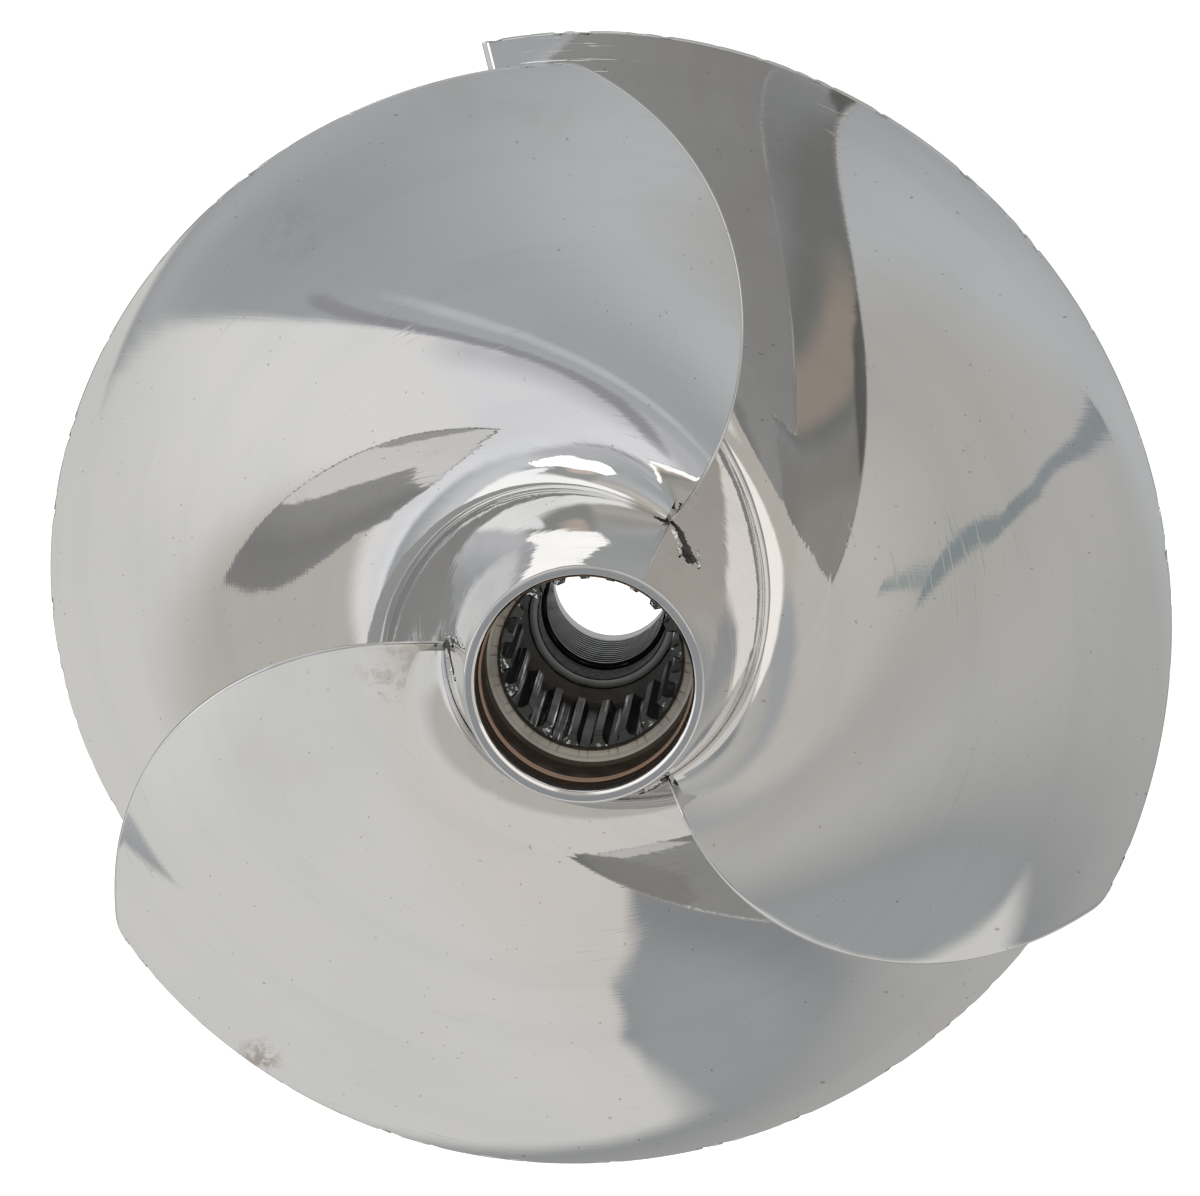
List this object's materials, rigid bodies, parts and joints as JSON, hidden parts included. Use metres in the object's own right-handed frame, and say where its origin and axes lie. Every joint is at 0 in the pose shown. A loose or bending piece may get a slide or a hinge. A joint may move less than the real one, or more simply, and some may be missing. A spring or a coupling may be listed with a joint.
{
  "type": "boat propeller",
  "caption": "Jet-pump impeller with wide swirl blades on a flared hub, splined bore at the nose and threaded bore at the rear.",
  "frame": {"origin": "on the shaft axis in the plane of the hub's rear rim, so the part stands on its rear rim", "axes": "+Z along the shaft axis towards the nose (intake end); the blades' leading edges start at the nose end"},
  "size_m": [0.156, 0.156, 0.0855],
  "materials": {
    "polished_steel": "mirror-polished stainless steel with fine polishing scratches",
    "weld_steel": "polished weld fillet, slightly rippled",
    "spline_steel": "dark broached steel with bright score lines",
    "ground_steel": "fine-turned grey steel",
    "bronze": "worn bronze",
    "browned_steel": "stained dark brown steel",
    "rubber": "black nitrile rubber"
  },
  "bodies": {
    "root": {"hub_shell": "polished_steel", "blade_1": "polished_steel", "blade_2": "polished_steel", "blade_3": "polished_steel", "root_weld_1": "weld_steel", "root_weld_2": "weld_steel", "root_weld_3": "weld_steel", "splined_sleeve": "spline_steel", "stop_ring": "ground_steel", "threaded_sleeve": "ground_steel", "bronze_ring": "bronze", "ring_carrier": "browned_steel", "mouth_o_ring": "rubber"}
  },
  "joints": []
}
